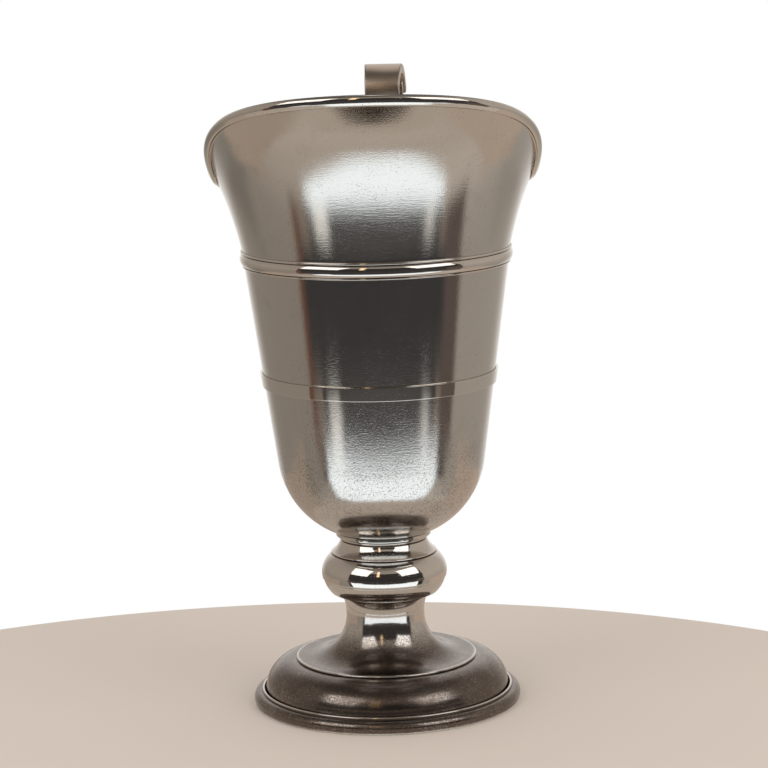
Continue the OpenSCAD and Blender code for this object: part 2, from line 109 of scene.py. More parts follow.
class StemSizes(bpy.types.PropertyGroup):
    """Sizes of the stem's mouldings."""
    wall: length("Stem wall", 2.2, "Wall of the stem castings")
    neck_r: length("Neck", 15.4, "Radius of the stem at its narrowest")
    trumpet_r: length("Trumpet", 16.2, "Radius of the trumpet curve under the neck")
    neck_h: length("Neck height", 1, "Straight length of the neck")
    throat_r: length("Throat", 16, "Radius of the hollow curve over the neck")
    throat_h: length("Throat height", 6.6, "Height of that curve")
    bead_h: length("Throat bead", 1.5, "Height of the bead over the throat")
    under_h: length("Knop underside", 0.05, "Height of the sloped underside of the knop")
    low_r: length("Lower knop", 11, "Radius of the knop's lower curve")
    low_h: length("Lower knop height", 7.95, "Height of the lower curve up to the widest line")
    up_r: length("Upper knop", 9.5, "Radius of the knop's upper curve")
    up_h: length("Upper knop height", 8, "Height of the upper curve over the widest line")
    seam_step: length("Seam step", 0.35, "Step at the knop's soldered seam")
    crease_r: length("Crease", 20.7, "Radius of the fillet over the knop")
    crease_h: length("Crease height", 0.6, "Height of that fillet")
    collar_h: length("Collar height", 4.5, "Height of the hollow collar over the fillet")
    collar_r: length("Collar curve", 9, "Radius of the collar's hollow curve")
    collar_in: length("Collar", 17, "Radius of the collar at its narrowest")
    groove_h: length("Groove", 0.6, "Height of the groove over the collar")
    groove_t: length("Groove depth", 0.3, "Depth of that groove")
    collar_bead: length("Collar bead", 1.2, "Height of the bead under the bowl's flange")
    cradle_out: length("Cradle", 2.2, "Width of the bowl's flange outside its flat seat")
    cradle_t: length("Cradle thickness", 0.8, "Thickness of that flange under the seat")
    cradle_gap: length("Cradle gap", 0.3, "Distance of that flange's slope from the seat's edge")


class BowlSizes(bpy.types.PropertyGroup):
    """Sizes of the bowl, its bands and its lip."""
    wall: length("Bowl wall", 1.8, "Wall of the bowl castings")
    floor: length("Bowl floor", 2.4, "Thickness of the bowl's floor")
    seat_r: length("Seat", 16.4, "Radius of the flat seat under the bowl")
    round_r: length("Cup round", 35, "Radius of the bowl's rounded bottom")
    taper: angle("Taper", 7.86, "Taper of the bowl wall from upright")
    gap: length("Solder gap", 0.1, "Gap that the solder fills between curved seats")
    low_band_t: length("Lower band", 0.95, "Thickness of the lower band")
    up_band_t: length("Upper band", 0.3, "Thickness of the upper band under its mouldings")
    up_bead_t: length("Upper beads", 0.4, "Height of the beads along the upper band's edges")
    up_bead_w: length("Upper bead width", 0.95, "Width of those beads")
    up_round_t: length("Upper round", 1, "Height of the broad round between those beads")
    lip_foot: length("Lip foot", 4.4, "Height from the upper band's middle to the flare")
    lip_kick: angle("Lip kick", 4.6, "Angle at which the lip kicks out from the bowl wall")
    flare_r: length("Flare", 145, "Radius of the flare in section")
    rim_low_h: length("Rim dip height", 26.1, "Height of the rim's lowest point over the flare's start")
    rim_low_y: length("Rim dip place", 11.5, "Distance of the rim's lowest point behind the axis")
    rim_dip_r: length("Rim dip", 52, "Radius of the dip at the sides of the rim")
    rim_rise: angle("Rim slope", 33.6, "Slope of the rim between dip and crown")
    rim_crown_r: length("Rim crown", 191, "Radius of the crown over the pouring lip")
    rim_back_r: length("Rim back", 200, "Radius of the rise towards the handle")
    mould_w: length("Rim moulding width", 4.4, "Width of the rim moulding along the wall")
    mould_t: length("Rim moulding height", 2.1, "Height of the rim moulding over the wall")
    mould_edge: length("Rim moulding edge", 0.45, "Upright edge under the moulding's round")
    fillet_w: length("Rim fillet", 0.7, "Width of the fillet under the moulding's round")
    mould_flat: length("Rim flat", 1.2, "Width of the flat on the lower side of the moulding's round")
    flat_a: angle("Rim flat slope", 9.5, "Slope of that flat")
    mould_lean: angle("Rim moulding lean", 20, "Angle by which the moulding stands up at the spout")
    lip_top: length("Lip edge", 0.25, "Height of the round that closes the lip's edge")
    bend: angle("Lip bend", 11, "Turn of the lip's face close under the rim, shown by its shading")
    bend_from: length("Lip bend start", 27, "Distance below the rim at which that turn starts")
    bend_to: length("Lip bend end", 12, "Distance below the rim at which that turn is full")


class HandleSizes(bpy.types.PropertyGroup):
    """Sizes of the strap handle, seen from the side."""
    turn: angle("Turn", 3.5, "Angle of the handle to one side of the line opposite the lip")
    strap_t: length("Strap", 4, "Thickness of the strap")
    strap_w: length("Scroll width", 17.2, "Width of the scroll at its back, over the shoulders")
    grip_w: length("Grip width", 10.8, "Width of the strap under its shoulders")
    shoulder_h: length("Shoulders", 1.2, "Height of the strap's shoulders")
    tail_w: length("Tail width", 10, "Width of the strap at its tail")
    curl_w: length("Curl width", 13.4, "Width of the scroll at its front")
    scroll_r: length("Scroll", 11.5, "Outer radius of the scroll")
    curl_r: length("Curl", 7.5, "Outer radius of the scroll's inner turn")
    scroll_rise: length("Scroll rise", 13.5, "Height of the inner turn over the back of the rim")
    scroll_back: length("Scroll place", 1.2, "Distance of the scroll's middle behind the rim")
    lean: angle("Lean", 30, "Angle at which the strap leaves the scroll")
    curl_end: angle("Curl end", 390, "Bearing at which the inner turn stops")
    tail_r: length("Tail curl", 11, "Radius of the tail curl, to the middle of the strap")
    tail_rise: length("Tail seat", 12.2, "Height of the tail's seat over the lower band's middle")
    tail_end: angle("Tail end", 290, "Bearing at which the tail curl stops")
    pad_t: length("Pad", 2.4, "Least thickness of the pad under the strap")
    worn_r: length("Strap edge", 0.55, "Radius of the strap's worn edges")


class PewterFinish(bpy.types.PropertyGroup):
    """Colours of the four pewter finishes."""
    bowl: colour("Bowl", (0.62, 0.59, 0.55), "Satin pewter of the bowl")
    bright: colour("Mouldings", (0.68, 0.64, 0.59), "Polished pewter of bands, knop and rim")
    foot: colour("Foot", (0.64, 0.6, 0.56), "Pewter of the foot where it is clean")
    handle: colour("Handle", (0.45, 0.37, 0.305), "Cast pewter of the handle")
    tarnish: colour("Tarnish", (0.135, 0.108, 0.092), "Dark film over the foot, in hollows and in pits")


class StageSettings(bpy.types.PropertyGroup):
    """Camera, table and light round the ewer."""
    lens: number("Lens", 127.5, "Focal length in millimetres on a 36 mm sensor")
    distance: length("Distance", 1060.8, "Distance from the camera to its aim")
    pitch: angle("Pitch", 9.7, "Angle by which the camera looks down")
    azimuth: angle("Azimuth", 0.6, "Angle of the camera to the right of the pouring lip")
    roll: angle("Roll", 1.45, "Roll of the camera")
    aim_z: length("Aim height", 126.2, "Height on the axis that the camera aims beside")
    aim_right: length("Aim offset", 1.7, "Distance of the aim to the right of the axis")
    table_r: length("Table", 310.9, "Radius of the round table")
    table_x: length("Table place", -29.1, "Place of the table's middle along X")
    table_y: length("Table distance", -153.6, "Place of the table's middle along Y")
    table_soft: length("Table edge", 4, "Radius of the table's rounded edge")
    table_t: length("Table thickness", 22, "Thickness of the table")
    table: colour("Table colour", (0.66, 0.575, 0.505), "Colour of the pale table")


# Outlines in a half plane: arrays of (radius, height) in metres


def arc(centre, radius, start, end, steps=24):
    """Points on a circle about centre, from one bearing to another in degrees."""
    a = np.radians(np.linspace(start, end, steps))
    return np.stack([centre[0] + radius * np.cos(a), centre[1] + radius * np.sin(a)], 1)


def bearing(centre, point):
    """Bearing of a point from a centre, in degrees."""
    return math.degrees(math.atan2(point[1] - centre[1], point[0] - centre[0]))


def rise_angle(height, radius):
    """Bearing on a circle of the point at a height over its centre, in degrees."""
    return math.degrees(math.asin(height / radius))


def chain(*runs):
    """Points and arcs joined into one outline."""
    return np.vstack([np.atleast_2d(np.asarray(run, float)) for run in runs])


def worn(outline, edge, count, closed=True):
    """Wears the corners of an outline round and thins it.

    The outline is cut into even steps, each point is averaged with its neighbours by a bell curve
    of width edge, and count points are then taken where length plus bend add up evenly. Returns
    the points, their outward normals, the length up to each and how sharply it bends there."""
    p = np.vstack([outline, outline[:1]]) if closed else np.asarray(outline)
    run = np.concatenate([[0], np.cumsum(np.linalg.norm(np.diff(p, axis=0), axis=1))])
    per_edge = 4
    steps = max(int(run[-1] / edge * per_edge), 64)
    even = np.linspace(0, run[-1], steps + 1)
    q = np.stack([np.interp(even, run, p[:, k]) for k in (0, 1)], 1)
    reach = 3 * per_edge
    bell = np.exp(-0.5 * (np.arange(-reach, reach + 1) / per_edge) ** 2)
    bell /= bell.sum()
    if closed:
        wide = np.vstack([q[-reach - 1:-1], q, q[1:reach + 1]])
    else:
        wide = np.vstack([2 * q[0] - q[reach:0:-1], q, 2 * q[-1] - q[-2:-reach - 2:-1]])
    q = np.stack([np.convolve(wide[:, k], bell, "valid") for k in (0, 1)], 1)
    if closed:
        around = np.vstack([q[-2], q, q[1]])
        way = (around[2:] - around[:-2]) / 2
    else:
        way = np.gradient(q, axis=0)
    heading = np.unwrap(np.arctan2(way[:, 1], way[:, 0]))
    bend = np.gradient(heading)
    step = np.linalg.norm(way, axis=1)
    broad = np.repeat(bell, 3) / 3
    curve = np.pad(bend / np.maximum(step, 1e-12), len(broad) // 2, "wrap" if closed else "edge")
    curve = np.convolve(curve, broad, "valid")
    load = step / step.sum() * 0.5 + np.abs(bend) / max(np.abs(bend).sum(), 1e-9) * 0.5
    share = np.concatenate([[0], np.cumsum((load[1:] + load[:-1]) / 2)])
    pick = np.linspace(0, share[-1], count + 1)
    pick = pick[:-1] if closed else pick
    at = np.interp(pick, share, np.arange(steps + 1))

    def sample(values):
        return np.interp(at, np.arange(steps + 1), values)

    points = np.stack([sample(q[:, 0]), sample(q[:, 1])], 1)
    turn = sample(heading)
    normals = np.stack([np.sin(turn), -np.cos(turn)], 1)
    sharp = sample(curve) * edge * 2
    sharp = np.sign(sharp) * np.clip(np.abs(sharp) - EDGE_START, 0, 1)
    return points, normals, sample(even), sharp


# Meshes


def put(name, data):
    """A new object of that name in the scene."""
    piece = bpy.data.objects.new(name, data)
    bpy.context.scene.collection.objects.link(piece)
    return piece


def add_piece(name, points, faces, uvs, normals=None, edge=None):
    """Puts arrays into a smooth mesh object at the origin, its faces turned outwards.

    The faces point outwards when the volume that they enclose, summed over fans of triangles, is
    positive; otherwise each face's corners are reversed."""
    first = [points[f] for f in faces]
    volume = sum(np.einsum("ij,ij->", f[:, 0], np.cross(f[:, k], f[:, k + 1]))
                 for f in first for k in range(1, f.shape[1] - 1))
    if volume < 0:
        faces = [f[:, ::-1] for f in faces]
        uvs = [u[:, ::-1] for u in uvs]
    corners = np.concatenate([f.ravel() for f in faces]).astype(np.int32)
    sizes = np.concatenate([np.full(len(f), f.shape[1]) for f in faces])
    mesh = bpy.data.meshes.new(name)
    mesh.vertices.add(len(points))
    mesh.vertices.foreach_set("co", points.astype(np.float32).ravel())
    mesh.loops.add(len(corners))
    mesh.loops.foreach_set("vertex_index", corners)
    mesh.polygons.add(len(sizes))
    mesh.polygons.foreach_set("loop_start", (np.cumsum(sizes) - sizes).astype(np.int32))
    mesh.update(calc_edges=True)
    layer = mesh.uv_layers.new(name=TURN_MAP)
    layer.data.foreach_set("uv", np.concatenate([u.reshape(-1, 2) for u in uvs]).astype(np.float32).ravel())
    mark = mesh.attributes.new(EDGE_MARK, "FLOAT", "POINT")
    mark.data.foreach_set("value", (np.zeros(len(points)) if edge is None else edge).astype(np.float32))
    mesh.polygons.foreach_set("use_smooth", np.ones(len(sizes), bool))
    mesh.validate()
    if normals is not None:
        mesh.normals_split_custom_set_from_vertices(normals)
    return put(name, mesh)


def net(rows, columns, closed, along):
    """Quads of a grid whose columns close on themselves, and whose rows do if closed.

    Returns corner indices and their map: round the grid from 0 to 1, and along it in metres."""
    last = rows if closed else rows - 1
    i, j = np.meshgrid(np.arange(last), np.arange(columns), indexing="ij")
    i, j = i.ravel(), j.ravel()
    corner_i = np.stack([i, i, i + 1, i + 1], 1)
    corner_j = np.stack([j, j + 1, j + 1, j], 1)
    quads = (corner_i % rows) * columns + corner_j % columns
    lengths = np.append(along, along[-1] + (along[-1] - along[-2]))
    return quads, np.stack([corner_j / columns, lengths[corner_i]], 2)


def turned(name, outline, edge=SOFT_EDGE, count=150, closed=True):
    """A turned piece: each outline point goes round the axis.

    x = r cos a, y = r sin a, z = z, with a in even steps. An open outline starts and ends on the
    axis, where a fan of triangles closes it on one point."""
    flat, flat_normals, along, sharp = worn(outline, edge, count, closed)
    a = np.linspace(0, 2 * np.pi, ROUND_STEPS, endpoint=False)
    ring = np.stack([np.cos(a), np.sin(a)], 1)

    def spin(half):
        wide = np.empty((len(half), ROUND_STEPS, 3))
        wide[..., :2] = half[:, None, :1] * ring[None]
        wide[..., 2] = half[:, 1:]
        return wide.reshape(-1, 3)

    if closed:
        quads, uv = net(len(flat), ROUND_STEPS, True, along)
        return add_piece(name, spin(flat), [quads], [uv], spin(flat_normals),
                         np.repeat(sharp, ROUND_STEPS))
    rows = flat[1:-1]
    quads, uv = net(len(rows), ROUND_STEPS, False, along[1:-1])
    points = np.vstack([spin(rows), [[0, 0, flat[0, 1]], [0, 0, flat[-1, 1]]]])
    normals = np.vstack([spin(flat_normals[1:-1]), [[0, 0, -1], [0, 0, 1]]])
    low_pole, high_pole = len(points) - 2, len(points) - 1
    j = np.arange(ROUND_STEPS)
    k = (j + 1) % ROUND_STEPS
    top = (len(rows) - 1) * ROUND_STEPS
    fans = np.vstack([np.stack([np.full_like(j, low_pole), k, j], 1),
                      np.stack([top + j, top + k, np.full_like(j, high_pole)], 1)])
    fan_uv = np.zeros((len(fans), 3, 2))
    fan_uv[..., 0] = np.concatenate([j, j])[:, None] / ROUND_STEPS
    edge_mark = np.append(np.repeat(sharp[1:-1], ROUND_STEPS), [0, 0])
    return add_piece(name, points, [quads, fans], [uv, fan_uv], normals, edge_mark)


def dress(piece, node, slot):
    """The piece stands for a CAD node, rides on the one body and takes the slot's finish."""
    piece.data.materials.append(pewter(slot))
    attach(piece, "root")
    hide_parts(node)


# Shader nodes


class Wire:
    """A value in a node tree; sums of wires and numbers become Math nodes."""

    def __init__(self, node, output=0):
        self.socket = node.outputs[output]
        self.tree = node.id_data

    def sum(self, operation, *values, clamp=False):
        """The result of a Math node in the same tree."""
        inputs = dict(enumerate(values))
        return Wire(add_node(self.tree, "Math", inputs, operation=operation, use_clamp=clamp))

    def __add__(self, other):
        return self.sum("ADD", self, other)

    def __sub__(self, other):
        return self.sum("SUBTRACT", self, other)

    def __rsub__(self, other):
        return self.sum("SUBTRACT", other, self)

    def __mul__(self, other):
        return self.sum("MULTIPLY", self, other)

    def __abs__(self):
        return self.sum("ABSOLUTE", self)


def feed(node, inputs):
    """Links wires to a node's inputs, or sets them to numbers or colours, by name or number."""
    for key, value in inputs.items():
        socket = node.inputs[key]
        if isinstance(value, Wire):
            value.tree.links.new(value.socket, socket)
        elif socket.type == "RGBA":
            socket.default_value = (*value, 1.0)
        else:
            socket.default_value = value


def add_node(tree, kind, inputs=None, **settings):
    """A shader node with its settings and its inputs."""
    node = tree.nodes.new("ShaderNode" + kind)
    for key, value in settings.items():
        setattr(node, key, value)
    feed(node, inputs or {})
    return node


def soft_step(value, low, high):
    """Rises smoothly from 0 at low to 1 at high."""
    return Wire(add_node(value.tree, "MapRange", {"Value": value, "From Min": low, "From Max": high},
                         interpolation_type="SMOOTHSTEP"), "Result")


def between(value, low, high, soft):
    """1 between two values and 0 outside them, with soft edges."""
    return soft_step(value, low - soft, low + soft) * (1.0 - soft_step(value, high - soft, high + soft))


def mix(factor, a, b, blend="MIX"):
    """Mixes two colours by a factor, or multiplies the first by the second."""
    tree = next(value.tree for value in (factor, a, b) if isinstance(value, Wire))
    node = add_node(tree, "Mix", data_type="RGBA", blend_type=blend)
    places = {socket.identifier: k for k, socket in enumerate(node.inputs)}
    feed(node, {places["Factor_Float"]: factor, places["A_Color"]: a, places["B_Color"]: b})
    return Wire(node, [socket.identifier for socket in node.outputs].index("Result_Color"))


def noise(place, scale, detail, rough):
    """A Noise texture's value at a place."""
    return Wire(add_node(place.tree, "TexNoise", {"Vector": place, "Scale": scale, "Detail": detail,
                                                  "Roughness": rough}), "Fac")


def parts(vector):
    """The three parts of a vector."""
    split = add_node(vector.tree, "SeparateXYZ", {0: vector})
    return [Wire(split, k) for k in range(3)]


def node_group(name, inputs, outputs, fill):
    """A shader group, made once: fill takes its inputs as wires and gives its outputs."""
    if name not in bpy.data.node_groups:
        group = bpy.data.node_groups.new(name, "ShaderNodeTree")
        for socket, kind in inputs.items():
            group.interface.new_socket(socket, in_out="INPUT", socket_type="NodeSocket" + kind)
        for socket in outputs:
            group.interface.new_socket(socket, in_out="OUTPUT", socket_type="NodeSocketFloat")
        start, end = group.nodes.new("NodeGroupInput"), group.nodes.new("NodeGroupOutput")
        results = fill(*[Wire(start, socket) for socket in inputs])
        feed(end, dict(zip(outputs, results)))
    return bpy.data.node_groups[name]


def turning_marks():
    """Fine lines left by the lathe: noise that is long round the axis and short along the wall."""
    def fill(place, along, density):
        x, y, _ = parts(place)
        stretched = add_node(place.tree, "CombineXYZ", {0: x * ROUND_SCALE, 1: y * ROUND_SCALE,
                                                        2: along * density})
        return [noise(Wire(stretched), 1.0, 2.0, 0.55)]

    return node_group("turning_marks", {"Position": "Vector", "Along": "Float", "Lines per metre": "Float"},
                      ["Lines"], fill)


def pitting():
    """Small casting pits: the peaks of a fine noise, gathered in drifts by a broad one, and the
    grain of the metal between them."""
    def fill(place, amount):
        fine, broad = noise(place, 2600.0, 1.0, 0.5), noise(place, 60.0, 2.0, 0.5)
        raised = fine + (broad - 0.5) * 0.3 + amount
        return [soft_step(raised, 0.66, 0.74), noise(place, 2000.0, 2.0, 0.6)]

    return node_group("pitting", {"Position": "Vector", "Amount": "Float"}, ["Pits", "Grain"], fill)


def tarnish():
    """Dark film: deep in hollows, gone from worn edges, and mottled where it is thin."""
    def fill(place, edge, amount, mottle):
        cloud, fleck = noise(place, 75.0, 4.0, 0.6) - 0.5, noise(place, 2200.0, 2.0, 0.6) - 0.5
        film = cloud * 0.7 + fleck * mottle + amount
        return [film.sum("SUBTRACT", film, edge * 4.5, clamp=True)]

    return node_group("tarnish", {"Position": "Vector", "Edge": "Float", "Amount": "Float",
                                  "Mottle": "Float"}, ["Film"], fill)


# Finishes: roughness, spread across the turning lines, depth of lines and grain in millimetres, pits,
# film and its mottle; low and high give a height between which pits and film grow downwards by gain
FINISH = {
    "bowl_pewter": dict(colour="bowl", rough=0.075, spread=0.5, lines=0.009, grain=0.024, pits=-0.03,
                        film=-0.05, mottle=0.3, low=0.085, high=0.13, pit_gain=0.12, film_gain=0.0),
    "bright_pewter": dict(colour="bright", rough=0.06, spread=0.2, lines=0.003, grain=0.003, pits=-0.04,
                          film=-0.05, mottle=0.3, low=0.05, high=0.06, pit_gain=0.0, film_gain=0.0),
    "foot_pewter": dict(colour="foot", rough=0.1, spread=0.2, lines=0.004, grain=0.006, pits=-0.05,
                        film=-0.1, mottle=1.7, low=0.02, high=0.034, pit_gain=0.08, film_gain=1.1),
    "handle_pewter": dict(colour="handle", rough=0.32, spread=0.0, lines=0.004, grain=0.012, pits=-0.06,
                          film=0.0, mottle=0.5, low=0.05, high=0.06, pit_gain=0.0, film_gain=0.0),
}


def new_material(name):
    """A material with nodes, its tree and its shader."""
    material = bpy.data.materials.new(name)
    material.use_nodes = True
    return material, material.node_tree, material.node_tree.nodes["Principled BSDF"]


def pewter(slot):
    """Metal with turning lines, grain, pits and a dark film, from the shared groups."""
    name = slot + "_finish"
    if name in bpy.data.materials:
        return bpy.data.materials[name]
    look = FINISH[slot]
    shades = bpy.context.scene.ewer_finish
    material, tree, shader = new_material(name)

    place = Wire(add_node(tree, "TexCoord"), "Object")
    along = parts(Wire(add_node(tree, "UVMap", uv_map=TURN_MAP)))[1]
    edge = Wire(add_node(tree, "Attribute", attribute_name=EDGE_MARK), "Fac")
    down = 1.0 - soft_step(parts(place)[2], look["low"], look["high"])
    marks = add_node(tree, "Group", node_tree=turning_marks())
    feed(marks, {"Position": place, "Along": along, "Lines per metre": LINES_PER_METRE})
    holes = add_node(tree, "Group", node_tree=pitting())
    feed(holes, {"Position": place, "Amount": down * look["pit_gain"] + look["pits"]})
    cloud = add_node(tree, "Group", node_tree=tarnish())
    feed(cloud, {"Position": place, "Edge": edge, "Mottle": look["mottle"],
                 "Amount": down * look["film_gain"] + look["film"]})

    lines, pits, grain, film = Wire(marks), Wire(holes, "Pits"), Wire(holes, "Grain"), Wire(cloud)
    cover = film.sum("MAXIMUM", film, pits * PIT_COVER)
    relief = lines * look["lines"] + grain * look["grain"] - pits * PIT_DEPTH
    bump = add_node(tree, "Bump", {"Strength": 1.0, "Distance": MM, "Height": relief})
    tangent = add_node(tree, "Tangent", direction_type="UV_MAP", uv_map=TURN_MAP)
    feed(shader, {"Metallic": 1.0, "Anisotropic": look["spread"], "Anisotropic Rotation": 0.25,
                  "Tangent": Wire(tangent), "Normal": Wire(bump),
                  "Roughness": cover * FILM_ROUGH + look["rough"],
                  "Base Color": mix(cover, getattr(shades, look["colour"]), shades.tarnish)})
    return material


# Pieces


def low(node):
    """Lowest corner of a CAD node."""
    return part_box(node)[0]


def high(node):
    """Highest corner of a CAD node."""
    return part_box(node)[1]


def base_ring_outline(s):
    """Flat underside, upright edge, quarter-round shoulder, bead, and the dome's rebate."""
    out_r, top = high("base_ring").x, high("base_ring").z
    dome_r, ledge_z = high("foot_dome").x, low("foot_dome").z
    in_r = dome_r - s.ledge
    chamfer = s.edge_h / 4
    ovolo = top - 2 * s.bead_r - s.edge_h
    bead = (dome_r + s.crevice + s.bead_r, top - s.bead_r)
    return chain((in_r, 0), (out_r - chamfer, 0), (out_r, chamfer),
                 arc((out_r - ovolo, s.edge_h), ovolo, 0, 90),
                 (bead[0] + s.bead_r, s.edge_h + ovolo),
                 arc(bead, s.bead_r, 0, 180),
                 (dome_r + s.gap, ledge_z), (in_r, ledge_z))


def foot_dome_outline(s, stem):
    """Skirt, rounded shoulder and flat top of a hollow dome, open in the middle."""
    out_r, skirt_z, top = high("foot_dome").x, low("foot_dome").z, high("foot_dome").z
    centre = (out_r - s.dome_round, top - s.dome_round)
    mouth = trumpet_mouth(s, stem)
    return chain((out_r, skirt_z), arc(centre, s.dome_round, 0, 90), (mouth, top), (mouth, top - s.wall),
                 arc(centre, s.dome_round - s.wall, 90, 0), (out_r - s.wall, skirt_z))


def trumpet_mouth(s, stem):
    """Radius at which the inside of the trumpet reaches the dome."""
    reach = stem.trumpet_r + s.flange_t
    inner = stem.trumpet_r + stem.wall
    return stem.neck_r + stem.trumpet_r - math.sqrt(inner ** 2 - reach ** 2)


def lower_stem_outline(s, stem):
    """Flange, trumpet, neck, throat, bead and the lower half of the knop, hollow inside."""
    flange_r, foot_z, seam = high("lower_stem").x, low("lower_stem").z, high("lower_stem").z
    half = s.flange_t / 2
    disc_z = foot_z + s.flange_t
    trumpet = (stem.neck_r + stem.trumpet_r, disc_z + stem.trumpet_r)
    throat = (stem.neck_r + stem.throat_r, trumpet[1] + stem.neck_h)
    throat_a = rise_angle(stem.throat_h, stem.throat_r)
    throat_out = throat[0] - stem.throat_r * math.cos(math.radians(throat_a))
    bead_z = throat[1] + stem.throat_h + stem.bead_h / 2
    ridge_z = bead_z + stem.bead_h / 2 + stem.under_h
    knop = (high("upper_stem").x - stem.seam_step - stem.low_r, ridge_z + stem.low_h)
    ridge_a = -rise_angle(stem.low_h, stem.low_r)
    seam_a = rise_angle(seam - knop[1], stem.low_r)
    inner_r = stem.low_r - stem.wall
    inner_a = rise_angle(seam - knop[1], inner_r)
    bore = stem.neck_r - stem.wall
    mouth = (trumpet_mouth(s, stem), foot_z)
    return chain(mouth, arc((flange_r - half, foot_z + half), half, -90, 90, 12),
                 arc(trumpet, stem.trumpet_r, 270, 180, 40),
                 arc(throat, stem.throat_r, 180, 180 - throat_a),
                 arc((throat_out, bead_z), stem.bead_h / 2, -90, 90, 12),
                 arc(knop, stem.low_r, ridge_a, seam_a), arc(knop, inner_r, inner_a, -90),
                 (bore, knop[1] - inner_r),
                 arc(trumpet, stem.trumpet_r + stem.wall, 180, bearing(trumpet, mouth) % 360, 30))


def upper_stem_outline(stem, bowl):
    """Upper half of the knop, fillet, hollow collar, groove, bead and the flange under the bowl."""
    knop_r, seam, seat = high("upper_stem").x, low("upper_stem").z, low("bowl_cup").z
    cradle_z = high("upper_stem").z
    cradle_r = bowl.seat_r + stem.cradle_out
    bead = (stem.collar_in, seat - stem.cradle_t - stem.collar_bead / 2)
    groove_z = bead[1] - stem.collar_bead / 2 - stem.groove_h
    flare_z = groove_z - stem.collar_h
    crease = (stem.crease_r - stem.crease_h / 2, flare_z - stem.crease_h / 2)
    knop = (knop_r - stem.up_r, flare_z - stem.crease_h - stem.up_h)
    top_a = rise_angle(stem.up_h, stem.up_r)
    seam_a = rise_angle(seam - knop[1], stem.up_r)
    p, q = np.array([crease[0], flare_z]), np.array([stem.collar_in, groove_z])
    d = q - p
    rise = math.sqrt(stem.collar_r ** 2 - d @ d / 4)
    hollow = (p + q) / 2 + rise * np.array([d[1], -d[0]]) / np.linalg.norm(d)
    inner_r = stem.up_r - stem.wall
    bore = stem.collar_in - stem.wall
    inner_a = rise_angle(seam - knop[1], inner_r)
    return chain(arc(knop, stem.up_r, seam_a, top_a), arc(crease, stem.crease_h / 2, -90, 90, 10),
                 arc(hollow, stem.collar_r, bearing(hollow, p) % 360, bearing(hollow, q) % 360),
                 (stem.collar_in - stem.groove_t, groove_z),
                 (stem.collar_in - stem.groove_t, groove_z + stem.groove_h),
                 arc(bead, stem.collar_bead / 2, -90, 90, 12),
                 (cradle_r, seat - stem.cradle_t), (cradle_r, cradle_z),
                 (bowl.seat_r + stem.cradle_gap, seat),
                 (bore, seat), (bore, knop[1] + inner_r), arc(knop, inner_r, 90, inner_a))


class Bowl:
    """Places worked out from the bowl's sizes and its nodes."""

    def __init__(self, s):
        self.seat = low("bowl_cup").z
        self.low_band = high("bowl_cup").z
        self.up_band = high("bowl_wall").z
        self.slope = math.tan(s.taper)
        self.band_r = high("bowl_wall").x - self.slope * (self.up_band - self.low_band)
        self.skin = s.wall / math.cos(s.taper)
        self.flare_z = self.up_band + s.lip_foot
        lean = s.taper + s.lip_kick
        self.flare_c = (self.r(self.flare_z) + s.flare_r * math.cos(lean),
                        self.flare_z - s.flare_r * math.sin(lean))
        self.rim_low = self.flare_z + s.rim_low_h
        self.rise_y = s.rim_low_y - s.rim_dip_r * math.sin(s.rim_rise)
        rise_z = self.rim_low + s.rim_dip_r * (1 - math.cos(s.rim_rise))
        self.crown = (self.rise_y - s.rim_crown_r * math.sin(s.rim_rise),
                      rise_z - s.rim_crown_r * math.cos(s.rim_rise))

    def r(self, z):
        """Radius of the straight wall at a height."""
        return self.band_r + (z - self.low_band) * self.slope

    def saddle(self, y, s):
        """Height of the rim at a distance behind the axis: crown, dip and back as tangent arcs."""
        crown = self.crown[1] + np.sqrt(np.clip(s.rim_crown_r ** 2 - (y - self.crown[0]) ** 2, 0, None))
        dip_r = np.where(y < s.rim_low_y, s.rim_dip_r, s.rim_back_r)
        dip = self.rim_low + dip_r - np.sqrt(np.clip(dip_r ** 2 - (y - s.rim_low_y) ** 2, 0, None))
        return np.where(y < self.rise_y, crown, dip)

    def kick_angle(self, inset, s):
        """Angle along the flare where it meets the straight foot, at an inset from the outer face."""
        across = s.flare_r * math.cos(s.lip_kick) + inset
        half = math.sqrt((s.flare_r + inset) ** 2 - across ** 2)
        climb = half - s.flare_r * math.sin(s.lip_kick)
        z = self.flare_z + climb * math.cos(s.taper) + inset * math.sin(s.taper)
        return math.asin((z - self.flare_c[1]) / (s.flare_r + inset))

    def rim_angle(self, turn, radius, s):
        """Angle along the flare where it meets the rim: a fixed point, found by halved steps."""
        a = np.full_like(turn, math.radians(25))
        for _ in range(40):
            y = (radius * np.cos(a) - self.flare_c[0]) * np.cos(turn)
            aim = np.clip((self.saddle(y, s) - self.flare_c[1]) / radius, -1, 0.95)
            a = (a + np.arcsin(aim)) / 2
        return a


def cup_outline(s, b):
    """Flat seat, round bottom and straight wall outside, the same less the wall inside."""
    lean = math.degrees(s.taper)
    low_r, high_r = 0.0, s.round_r
    for _ in range(60):
        centre_r = (low_r + high_r) / 2
        centre_z = b.seat + math.sqrt(s.round_r ** 2 - (s.seat_r - centre_r) ** 2)
        touch_r = centre_r + s.round_r * math.cos(s.taper)
        touch_z = centre_z - s.round_r * math.sin(s.taper)
        if touch_r > b.r(touch_z):
            high_r = centre_r
        else:
            low_r = centre_r
    centre = (centre_r, centre_z)
    seat_a = bearing(centre, (s.seat_r, b.seat))
    inner = s.round_r - s.wall
    floor_a = -rise_angle(centre_z - b.seat - s.floor, inner)
    return chain((0, b.seat), arc(centre, s.round_r, seat_a, -lean, 40), (b.r(b.low_band), b.low_band),
                 (b.r(b.low_band) - b.skin, b.low_band), arc(centre, inner, -lean, floor_a, 40),
                 (0, b.seat + s.floor))


